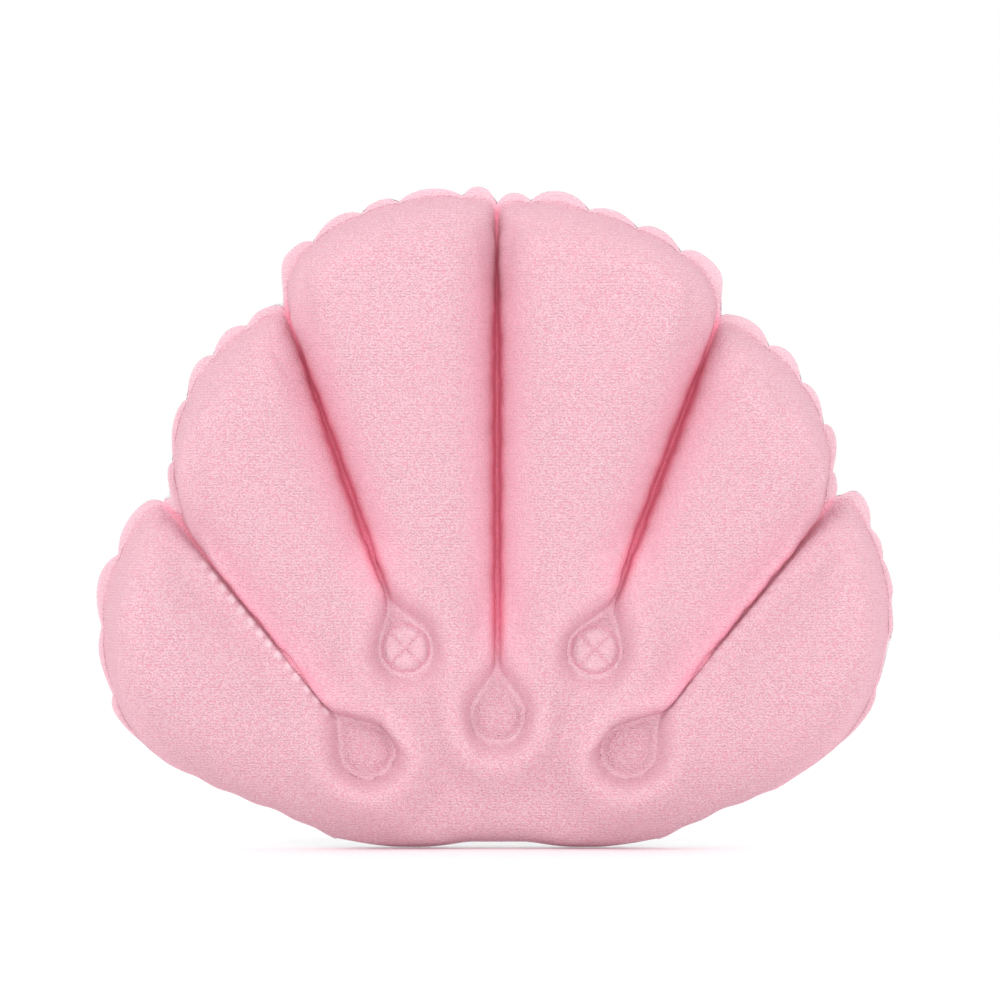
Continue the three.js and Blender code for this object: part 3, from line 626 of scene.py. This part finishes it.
class Finish:
    """A material under construction: adds nodes and links them in one call."""

    def __init__(self, name):
        self.material = bpy.data.materials.new(name)
        self.material.use_nodes = True
        self.tree = self.material.node_tree
        self.shader = self.tree.nodes["Principled BSDF"]

    def add(self, kind, settings=None, **sockets):
        node = self.tree.nodes.new("ShaderNode" + kind)
        for key, value in (settings or {}).items():
            setattr(node, key, value)
        for key, value in sockets.items():
            self.feed(node, key.replace("_", " "), value)
        return node

    def feed(self, node, key, value):
        socket = node.inputs[int(key) if key.isdigit() else key]
        if isinstance(value, bpy.types.NodeSocket):
            self.tree.links.new(value, socket)
        else:
            socket.default_value = value

    def set(self, **sockets):
        for key, value in sockets.items():
            self.feed(self.shader, key.replace("_", " "), value)

    def sums(self, operation, a, b=None):
        node = self.tree.nodes.new("ShaderNodeMath")
        node.operation = operation
        self.feed(node, "0", a)
        if b is not None:
            self.feed(node, "1", b)
        return node.outputs[0]

    def blend(self, share, a, b, way="MIX"):
        node = self.tree.nodes.new("ShaderNodeMix")
        node.data_type = "RGBA"
        node.blend_type = way
        self.feed(node, "0", share)
        self.feed(node, "6", a)
        self.feed(node, "7", b)
        return node.outputs[2]

    def ramp(self, value, low, high, start=0.0, end=1.0):
        node = self.tree.nodes.new("ShaderNodeMapRange")
        for key, number in ((0, value), (1, low), (2, high), (3, start), (4, end)):
            self.feed(node, str(key), number)
        return node.outputs[0]


LOOP_DEEP = (0.68, 0.325, 0.405, 1)  # pinks of the towelling
LOOP_TIP = (0.815, 0.605, 0.665, 1)
CLUMP_PINK = (0.87, 0.55, 0.62, 1)
SHADE_PINK = (0.83, 0.42, 0.50, 1)
PRESSED_PINK = (0.83, 0.63, 0.69, 1)
# painted light and shade on the towelling: glow on the cleft walls, red shade down in the clefts
WALL_GLOW_PINK = (0.96, 0.43, 0.53, 1)
CREASE_SHADE_PINK = (0.94, 0.29, 0.41, 1)
DASH_PINK = (0.95, 0.74, 0.80, 1)
PAINTED_GLOW_RED = (1.0, 0.26, 0.37, 1)  # painted glow, for light that shines through the cloth
PAINTED_WELD_GLOW = (1.0, 0.46, 0.56, 1)
PAINTED_DASH_GLOW = (1.0, 0.85, 0.88, 1)
LOOP_HEIGHT = 0.0010
PRESSED_HEIGHT = 0.0005


def towelling():
    """Looped towelling: rows of small loops, lighter where the welds press them flat, with painted glow on
    the cleft walls, painted red shade in the clefts and a faint painted glow all over.
    """
    f = Finish("pink_towelling")
    chart = f.add("TexCoord").outputs["Object"]
    pressed = f.add("Attribute", {"attribute_name": "pressed"}).outputs["Fac"]
    drift = f.add("TexNoise", Vector=chart, Scale=260.0, Detail=2.0, Roughness=0.6)
    wander = f.add("VectorMath", {"operation": "MULTIPLY_ADD"})
    f.feed(wander, "0", drift.outputs["Color"])
    f.feed(wander, "1", (0.0009, 0.0009, 0.0009))
    f.feed(wander, "2", chart)
    stretch = f.add("Mapping", Vector=wander.outputs[0], Scale=(0.7, 1.0, 1.0))
    loops = f.add("TexVoronoi", Vector=stretch.outputs[0], Scale=1300.0, Randomness=0.85)
    curls = f.add("TexNoise", Vector=stretch.outputs[0], Scale=2000.0, Detail=3.0, Roughness=0.7)
    rows = f.add("TexWave", {"bands_direction": "Z"}, Vector=chart, Scale=225.0, Distortion=3.5,
                 Detail=2.0, Detail_Scale=2.5)
    clumps = f.add("TexNoise", Vector=chart, Scale=190.0, Detail=3.0, Roughness=0.6)
    shade = f.add("TexNoise", Vector=chart, Scale=16.0, Detail=3.0, Roughness=0.5)
    round_loops = f.ramp(loops.outputs["Distance"], 0.1, 0.8, 1.0, 0.0)
    pile = f.sums("ADD", f.sums("MULTIPLY", round_loops, 0.55), f.sums("MULTIPLY", curls.outputs[0], 0.45))
    pile = f.sums("ADD", pile, f.sums("MULTIPLY", rows.outputs["Fac"], 0.14))
    tips = f.ramp(pile, 0.34, 0.80)
    colour = f.blend(tips, LOOP_DEEP, LOOP_TIP)
    colour = f.blend(f.ramp(clumps.outputs[0], 0.35, 0.7, 0.0, 0.08), colour, CLUMP_PINK)
    colour = f.blend(f.ramp(shade.outputs[0], 0.35, 0.7, 0.0, 0.16), colour, SHADE_PINK)
    colour = f.blend(f.sums("MULTIPLY", pressed, 0.6), colour, PRESSED_PINK)
    cleft = f.add("Attribute", {"attribute_name": "painted_crease_shade"}).outputs["Fac"]
    glow = f.add("Attribute", {"attribute_name": "beside_cleft"}).outputs["Fac"]
    # painted glow on the walls across a cleft, then painted red shade down in it
    colour = f.blend(f.sums("MULTIPLY", glow, 0.45), colour, WALL_GLOW_PINK)
    colour = f.blend(f.sums("MULTIPLY", cleft, 0.9), colour, CREASE_SHADE_PINK)
    dash = f.add("Attribute", {"attribute_name": "dashes"}).outputs["Fac"]
    colour = f.blend(f.sums("MULTIPLY", dash, 0.75), colour, DASH_PINK)
    # painted glow: faint all over, stronger deep in the clefts, near the welds and on the dashes
    core = f.sums("MULTIPLY", f.sums("POWER", cleft, 2.0), 0.045)
    weld_painted_glow = f.add("Attribute", {"attribute_name": "weld_painted_glow"}).outputs["Fac"]
    painted_glow_strength = f.sums("ADD", f.sums("ADD", core, 0.04), f.sums("MULTIPLY", weld_painted_glow, 0.08))
    warm = f.blend(weld_painted_glow, PAINTED_GLOW_RED, PAINTED_WELD_GLOW)
    f.set(Emission_Color=f.blend(dash, warm, PAINTED_DASH_GLOW))
    f.set(Emission_Strength=f.sums("ADD", painted_glow_strength, f.sums("MULTIPLY", dash, 0.02)))
    depth = f.ramp(pressed, 0.0, 1.0, LOOP_HEIGHT, PRESSED_HEIGHT)
    bump = f.add("Bump", Height=f.sums("MULTIPLY", pile, depth), Strength=1.0, Distance=1.0)
    f.set(Base_Color=colour, Roughness=0.95, Normal=bump.outputs[0])
    f.set(Sheen_Weight=0.06, Sheen_Roughness=0.4, Sheen_Tint=(1, 0.75, 0.80, 1), Specular_IOR_Level=0.15)
    return f.material


def film(name, tint, roughness):
    """Soft vinyl sheet with a fine leathery emboss."""
    f = Finish(name)
    place = f.add("TexCoord").outputs["Object"]
    grain = f.add("TexNoise", Vector=place, Scale=900.0, Detail=2.0, Roughness=0.6)
    waves = f.add("TexNoise", Vector=place, Scale=60.0, Detail=3.0, Roughness=0.55)
    haze = f.add("TexNoise", Vector=place, Scale=14.0, Detail=4.0, Roughness=0.6)
    weld = f.add("Attribute", {"attribute_name": "weld"}).outputs["Fac"]
    ribs = f.add("TexWave", {"bands_direction": "DIAGONAL"}, Vector=place, Scale=330.0, Distortion=0.0)
    height = f.sums("ADD", f.sums("MULTIPLY", grain.outputs[0], 0.00008),
                    f.sums("MULTIPLY", waves.outputs[0], 0.0007))
    ribbed = f.sums("MULTIPLY", ribs.outputs["Fac"], weld)
    height = f.sums("ADD", height, f.sums("MULTIPLY", ribbed, 0.0003))
    bump = f.add("Bump", Height=height, Strength=0.6, Distance=1.0)
    darker = tuple(c * 0.94 for c in tint[:3]) + (1,)
    f.set(Base_Color=f.blend(f.ramp(haze.outputs[0], 0.35, 0.65), tint, darker), Normal=bump.outputs[0])
    f.set(Roughness=f.ramp(haze.outputs[0], 0.3, 0.7, roughness - 0.06, roughness + 0.08))
    f.set(Coat_Weight=0.25, Coat_Roughness=0.25)
    return f.material


def moulded(name, tint, clear, roughness):
    """Clear or cloudy moulded vinyl with faint flow marks."""
    f = Finish(name)
    place = f.add("TexCoord").outputs["Object"]
    flow = f.add("TexNoise", Vector=place, Scale=120.0, Detail=3.0, Roughness=0.5)
    bump = f.add("Bump", Height=f.sums("MULTIPLY", flow.outputs[0], 0.0002), Strength=0.5, Distance=1.0)
    darker = tuple(c * 0.93 for c in tint[:3]) + (1,)
    f.set(Base_Color=f.blend(f.ramp(flow.outputs[0], 0.35, 0.7), tint, darker), Normal=bump.outputs[0])
    f.set(Roughness=f.ramp(flow.outputs[0], 0.3, 0.7, roughness - 0.03, roughness + 0.05))
    f.set(IOR=1.53, Transmission_Weight=clear)
    return f.material


PINK_TOWELLING = towelling()
WHITE_VINYL = film("white_vinyl", (0.78, 0.785, 0.80, 1), 0.38)
CUP_VINYL = moulded("clear_cup_vinyl", (0.93, 0.96, 0.97, 1), 0.9, 0.12)
VALVE_VINYL = moulded("cloudy_valve_vinyl", (0.90, 0.91, 0.91, 1), 0.35, 0.30)


# towelling face

def in_cleft(spots, height):
    """Painted red shade: 1 low down between two lobes, falling to 0 up their walls; a thin line near the
    tips.
    """
    radius, angle = fan_place(spots)
    share = np.zeros(len(spots))
    for k in range(5):
        away = np.abs(radius * np.sin((angle - EDGE_ANGLES[k + 1]) * DEGREE))
        strength, widest, start, full = CLEFTS[k]
        from_tip = tip_radius(angle) - radius
        width = CLEFT_LEAST + (widest - CLEFT_LEAST) * ease(from_tip, start, full)
        along = ease(radius - DROP_RADII[k], *CLEFT_RUN) * ease(from_tip, *CLEFT_TIP)
        share = np.maximum(share, strength * (1 - ease(away / width, 0.35, 1.0)) * along)
    return share * ease(height, *CLEFT_HEIGHT)


def beside_cleft(spots):
    """Painted glow: 1 on the walls that face each other across a cleft, falling to 0 towards the crowns."""
    radius, angle = fan_place(spots)
    share = np.zeros(len(spots))
    for k in range(5):
        away = radius * np.sin((angle - EDGE_ANGLES[k + 1]) * DEGREE)
        along = ease(radius - DROP_RADII[k], *GLOW_RUN)
        along *= ease(tip_radius(angle) - radius, *GLOW_TIP)
        if k in (0, 4):
            along *= np.where((away > 0) == (k == 0), *GLOW_OUTER)
        share = np.maximum(share, ease(np.abs(away), *GLOW_WIDTH) * along)
    return share


def weld_dashes(spots):
    """Light dashes that the welding bar left beside the two outer channels."""
    radius, angle = fan_place(spots)
    marks = np.zeros(len(spots))
    for k, hand, strength in ((0, -1, 1.0), (4, 1, 0.3)):
        away = hand * radius * np.sin((angle - EDGE_ANGLES[k + 1]) * DEGREE)
        dash = ease(np.cos(2 * math.pi * radius / DASH_PITCH), -0.45, 0.3)
        along = ease(radius, 0.118, 0.130) * (1 - ease(radius, 0.215, 0.240))
        line = np.exp(-((away - DASH_PLACE[0]) / DASH_PLACE[1]) ** 2)
        marks = np.maximum(marks, strength * line * dash * along)
    return marks


def finer_pads(obj):
    """Splits the faces under the two crossed pads so that they can carry the crossing lines."""
    bm = bmesh.new()
    bm.from_mesh(obj.data)
    middles = [Vector(fan_point(DROP_RADII[k], EDGE_ANGLES[k + 1])) for k in (1, 3)]
    edges = {}
    for face in bm.faces:
        spot = face.calc_center_median()
        if min((Vector((spot.x, spot.z)) - m).length for m in middles) < PAD_RADIUS + 0.003:
            edges.update(dict.fromkeys(face.edges))
    bmesh.ops.subdivide_edges(bm, edges=list(edges), cuts=2, use_grid_fill=True)
    bm.to_mesh(obj.data)
    bm.free()


def pad_relief(spots):
    """Raised quarters of the two crossed round pads, and the lines round and across them, 0 to 1."""
    relief = np.zeros(len(spots))
    marks = np.zeros(len(spots))
    for k in (1, 3):
        angle = EDGE_ANGLES[k + 1]
        out = spots - fan_point(DROP_RADII[k], angle)
        ring = np.hypot(out[:, 0], out[:, 1])
        lines = np.minimum(np.abs(out[:, 0] - out[:, 1]), np.abs(out[:, 0] + out[:, 1])) / math.sqrt(2)
        inside = np.minimum(PAD_RADIUS - ring, lines)
        relief = np.maximum(relief, ease(inside, -0.0006, 0.0030))
        on_pad = ring < PAD_RADIUS + 0.0012
        marks = np.maximum(marks, np.exp(-(inside / 0.0009) ** 2) * on_pad)
    return relief, marks


def towelling_face():
    """The pink front: blown up, then given its teardrop beads, crossed pads and weld marks, and the masks
    for its painted glow and painted shade.
    """
    sheet = Sheet(28, 100, FACE_FORWARD)
    obj = blown_sheet("towelling_face", sheet, -1, 0.90, 0.0425, (1.58, 1.40), 1.12, 4.0, 0.25)
    keep_on(obj, "hem", sheet.hem)
    keep_on(obj, "crease_vert", np.where((sheet.tip_hem == 1) & (scallop(sheet.angle) < 0.3), 1.0, 0.0))
    subdivided(obj, 1)
    finer_pads(obj)
    at = points_of(obj)
    spots = at[:, (0, 2)]
    drop = nearest_drop(spots)
    height = stored(obj, "floor") - at[:, 1]
    low = ease(height, 0.010, 0.003)
    dashes = weld_dashes(spots)
    bead = np.exp(-((drop + BEAD_PLACE[0]) / BEAD_PLACE[1]) ** 2) * low
    pad, lines = pad_relief(spots)
    inner = ease(-drop, 0.002, 0.007) * low
    rise = BEAD_RISE * bead + PAD_RISE * pad * low + DROP_RISE * inner + DASH_RISE * dashes
    at[:, 1] -= rise
    obj.data.vertices.foreach_set("co", at.ravel())
    hem = ease(stored(obj, "hem"), 0.05, 0.5)
    pressed = np.maximum.reduce((hem, 0.55 * bead, 0.5 * pad * low))
    radius, angle = fan_place(spots)
    # painted glow near the tip welds and round the teardrops
    near_tip = ease(weld_radius(angle) - radius, TIP_GLOW_REACH, 0.006) * (1 - hem)
    near_drop = np.exp(-((drop - DROP_GLOW) / DROP_GLOW) ** 2)
    keep_on(obj, "weld_painted_glow", np.maximum(near_tip, 0.7 * near_drop))
    keep_on(obj, "dashes", dashes)
    keep_on(obj, "pressed", pressed)
    # painted glow on the cleft walls; painted red shade in the clefts and along the pads' lines
    keep_on(obj, "beside_cleft", beside_cleft(spots))
    keep_on(obj, "painted_crease_shade", np.maximum(in_cleft(spots, height), 0.22 * lines * low))
    thick = obj.modifiers.new("Cloth_thickness", "SOLIDIFY")
    thick.thickness = TOWEL_THICKNESS
    thick.offset = 1.0
    thick.use_even_offset = False
    show(obj, PINK_TOWELLING)
    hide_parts("terry_face", "face_film")
    return obj


def level_seat(obj):
    """Draws the rear film level under the valve's flange and opens it for the stem."""
    bm = bmesh.new()
    bm.from_mesh(obj.data)
    seat = Vector((0, VALVE_Z))
    ring = {v: (Vector((v.co.x, v.co.z)) - seat).length for v in bm.verts}
    for v, away in ring.items():
        v.co.y += (VALVE_SEAT - v.co.y) * (1 - float(ease(away, SEAT_RADIUS, SEAT_RADIUS + 0.016)))
    inner = [f for f in bm.faces if min(ring[v] for v in f.verts) < STEM_HOLE - 0.0008]
    bmesh.ops.delete(bm, geom=inner, context="FACES")
    for v in bm.verts:
        if v.is_boundary and ring[v] < SEAT_RADIUS:
            out = (Vector((v.co.x, v.co.z)) - seat) * (STEM_HOLE / ring[v])
            v.co.x, v.co.z = out.x, out.y + VALVE_Z
    bm.to_mesh(obj.data)
    bm.free()


def vinyl_back():
    """The white rear film."""
    sheet = Sheet(16, 72, SEAM_FORWARD, FILM_PEEK[2])
    obj = blown_sheet("vinyl_back", sheet, 1, 0.70, 0.0285, (1.40, 1.28), 1.07, 3.0, 0.3)
    keep_on(obj, "weld", np.where(sheet.held, 1.0, 0.0))
    subdivided(obj, 1)
    level_seat(obj)
    thick = obj.modifiers.new("Film_thickness", "SOLIDIFY")
    thick.thickness = FILM_THICKNESS
    thick.offset = 1.0
    show(obj, WHITE_VINYL)
    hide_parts("rear_film")
    return obj


towelling_face()
vinyl_back()


# valve and cups: profiles are in millimetres

def spun(bm, profile, steps=72):
    """Spins a closed profile of (radius, y) points in millimetres about the Y axis."""
    verts = [bm.verts.new((radius / 1000, y / 1000, 0)) for radius, y in profile]
    ends = verts[1:] + verts[:1] if profile[0][0] > 0 else verts[1:]
    edges = [bm.edges.new(pair) for pair in zip(verts, ends)]
    bmesh.ops.spin(bm, geom=verts + edges, axis=(0, 1, 0), cent=(0, 0, 0), steps=steps,
                   angle=2 * math.pi, use_merge=True)
    bmesh.ops.remove_doubles(bm, verts=bm.verts, dist=1e-6)
    bmesh.ops.recalc_face_normals(bm, faces=bm.faces)


def bar(bm, low, high, round_end):
    """A flat bar between two corners, in millimetres, with its upright edges rounded off."""
    low, high = Vector(low) / 1000, Vector(high) / 1000
    size = high - low
    place = Matrix.Translation((low + high) / 2) @ Matrix.Diagonal((*size, 1))
    made = bmesh.ops.create_cube(bm, size=1, matrix=place)["verts"]
    edges = dict.fromkeys(e for v in made for e in v.link_edges)
    upright = [e for e in edges if abs(e.verts[0].co.y - e.verts[1].co.y) > size.y / 2]
    bmesh.ops.bevel(bm, geom=upright, offset=round_end / 1000, segments=5, profile=0.5,
                    affect="EDGES", material=-1)


def moulding(name, bm, place, material, body, slot, *nodes):
    """Softens the sharp edges of a moulded piece, puts it in place and lets it stand for its solid."""
    sharp = [e for e in bm.edges if len(e.link_faces) == 2 and e.calc_face_angle(0) > 0.6]
    bmesh.ops.bevel(bm, geom=sharp, offset=EDGE_ROUND, segments=2, profile=0.5, affect="EDGES",
                    clamp_overlap=True, material=-1)
    bmesh.ops.translate(bm, verts=bm.verts, vec=place)
    mesh = bpy.data.meshes.new(name)
    bm.to_mesh(mesh)
    bm.free()
    obj = bpy.data.objects.new(name, mesh)
    show(obj, material, body)
    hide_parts(*nodes)
    return obj


def quarter(steps):
    """Shares of a quarter turn, ends left out, in radians."""
    return [math.pi / 2 * k / steps for k in range(1, steps)]


def suction_cup(side, x):
    """Clear cup with a button on its neck."""
    back = [(3.3 + 16.7 * math.sin(a), -0.9 - 10.0 * math.cos(a)) for a in quarter(14)]
    hollow = [(18.2 * math.sin(a), -8.3 * math.cos(a)) for a in reversed(quarter(14))]
    bm = bmesh.new()
    button = [(0, -16), (3.0, -16), (4.6, -15.2), (5.2, -14), (5.2, -13), (3.3, -13), (3.3, -10.9)]
    rim = [(20, -0.9), (20, 0), (18.2, 0)]
    spun(bm, [*button, *back, *rim, *hollow, (0, -8.3)], 96)
    moulding(f"{side}_cup", bm, (x, 0, 0), CUP_VINYL, f"{side}_cup", "cup_vinyl", f"{side}_suction_cup")


def cup_holder(side, x):
    """Hollow holder with a welded foot, a ring round it and a hole for the cup's neck."""
    bm = bmesh.new()
    plate = [(3.6, -11.2), (8, -11.2)]
    ring = [(8.25, -15), (8.75, -15.6), (8.75, -17.2), (8.4, -17.8)]
    foot = [(9.2, -30.15), (11, -30.15), (11, -31.15), (7.7, -31.15)]
    spun(bm, [*plate, *ring, *foot, (6.5, -12.7), (3.6, -12.7)])
    moulding(f"{side}_holder", bm, (x, 0, 0), VALVE_VINYL, "pillow", "valve_vinyl", f"{side}_cup_socket")


def air_valve():
    """Flange, folded sleeve, tube, stopper on its strap, and non-return flap."""
    place = (0, VALVE_FOOT, VALVE_Z)
    bm = bmesh.new()
    groove = [(7.4, 1.2), (7.2, 0.95), (6.6, 0.95), (6.4, 1.2)]
    spun(bm, [(5.6, 0), (10, 0), (10, 0.6), (8.8, 1.2), *groove, (5.6, 1.2)])
    moulding("valve_flange", bm, place, VALVE_VINYL, "pillow", "valve_vinyl", "valve_base")

    long, folds = 6.5, 4
    heights = [long * k / 24 for k in range(25)]
    outer = [(5.12 + 0.18 * math.cos(2 * math.pi * y / long * folds), y) for y in heights]
    inner = [(radius - 0.3, y) for radius, y in reversed(outer)]
    bm = bmesh.new()
    spun(bm, outer + inner)
    sleeve = moulding("valve_bellows", bm, place, VALVE_VINYL, "pillow", "valve_vinyl", "valve_sleeve")
    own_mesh(sleeve)

    bm = bmesh.new()
    collar = [(4.4, 6.8), (6.2, 6.8), (6.2, 8.2), (4.4, 8.2)]
    flap_seat = [(3.2, -3.6), (2.3, -3.6), (2.3, -4.4), (3.2, -4.4)]
    spun(bm, [(3.2, -6), (4.4, -6), *collar, (4.4, 9), (3.2, 9), *flap_seat])
    bar(bm, (-1.8, 6.8, 3.8), (1.8, 8.2, 10.4), 0.8)
    bar(bm, (-1.8, 6.8, 8.6), (1.8, 9.0, 10.4), 0.8)
    moulding("valve_tube", bm, place, VALVE_VINYL, "stem", "valve_vinyl", "valve_stem")

    seat = 9.3
    bm = bmesh.new()
    cap = [(0, seat + 1.8), (3.9, seat + 1.8), (4.7, seat + 1.6), (5.2, seat + 1.1), (5.2, seat)]
    nose = [(2.9, seat), (2.3, seat - 4), (1.2, seat - 4), (1.2, seat - 1.1), (0, seat - 1.1)]
    spun(bm, [*cap, *nose])
    bar(bm, (-1.8, seat, 2.6), (1.8, seat + 0.8, 10.4), 0.6)
    bar(bm, (-1.8, seat, -8.0), (1.8, seat + 0.8, -2.6), 1.5)
    for z in (-7.0, -6.2, -5.4):
        bar(bm, (-1.3, seat + 0.7, z - 0.15), (1.3, seat + 1.0, z + 0.15), 0.1)
    moulding("valve_stopper", bm, place, VALVE_VINYL, "plug", "valve_vinyl", "valve_plug")

    bm = bmesh.new()
    spun(bm, [(0, -5.2), (2.7, -5.2), (2.7, -4.7), (0, -4.7)])
    moulding("valve_tongue", bm, place, VALVE_VINYL, "flap", "valve_vinyl", "valve_flap")


for cup_side, cup_x in (("left", -CUP_X), ("right", CUP_X)):
    suction_cup(cup_side, cup_x)
    cup_holder(cup_side, cup_x)
air_valve()


# floor, light and camera

def floor():
    """Plain pale ground just under the pillow."""
    lowest = min(cad_box[0][2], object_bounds()[0][2])
    bm = bmesh.new()
    bmesh.ops.create_grid(bm, x_segments=2, y_segments=2, size=4.0,
                          matrix=Matrix.Translation((0, 0, lowest - FLOOR_GAP)))
    mesh = bpy.data.meshes.new("floor")
    bm.to_mesh(mesh)
    bm.free()
    obj = bpy.data.objects.new("floor", mesh)
    bpy.context.scene.collection.objects.link(obj)
    f = Finish("pale_floor")
    f.set(Base_Color=(0.97, 0.97, 0.97, 1), Roughness=0.9, Specular_IOR_Level=0.1)
    f.set(Emission_Color=(1, 1, 1, 1), Emission_Strength=0.05)
    mesh.materials.append(f.material)
    obj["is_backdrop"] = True


def lamp(name, place, aim, size, power):
    """A round soft lamp."""
    light = bpy.data.lights.new(name, "AREA")
    light.shape = "DISK"
    light.size = size
    light.energy = power
    obj = bpy.data.objects.new(name, light)
    obj.location = place
    obj.rotation_euler = (Vector(aim) - Vector(place)).to_track_quat("-Z", "Y").to_euler()
    bpy.context.scene.collection.objects.link(obj)


def studio():
    """White surroundings, four lamps and the camera of the photo."""
    world = bpy.data.worlds.new("studio")
    world.use_nodes = True
    back = world.node_tree.nodes["Background"]
    back.inputs["Color"].default_value = (1, 1, 1, 1)
    back.inputs["Strength"].default_value = 1.0
    scene = bpy.context.scene
    scene.world = world
    scene.view_settings.view_transform = "Standard"
    lamp("key", (-1.3, -1.3, 1.3), (0, 0, 0.05), 1.2, 12)
    lamp("fill", (1.5, -1.2, 0.4), (0, 0, 0), 1.4, 6)
    lamp("low", (0.1, -1.7, -0.02), (0, 0, -0.06), 0.9, 6)
    lamp("rim", (0.9, 1.4, 1.2), (0, 0, 0.05), 1.2, 2.5)
    camera = bpy.data.cameras.new("camera")
    camera.lens = LENS
    camera.sensor_width = SENSOR
    camera.clip_end = 20
    obj = bpy.data.objects.new("camera", camera)
    x, y, z = CAMERA_AIM
    obj.location = (x, y - FIELD * LENS / SENSOR, z)
    obj.rotation_euler = (math.pi / 2, 0, 0)
    scene.collection.objects.link(obj)
    scene.camera = obj


floor()
studio()
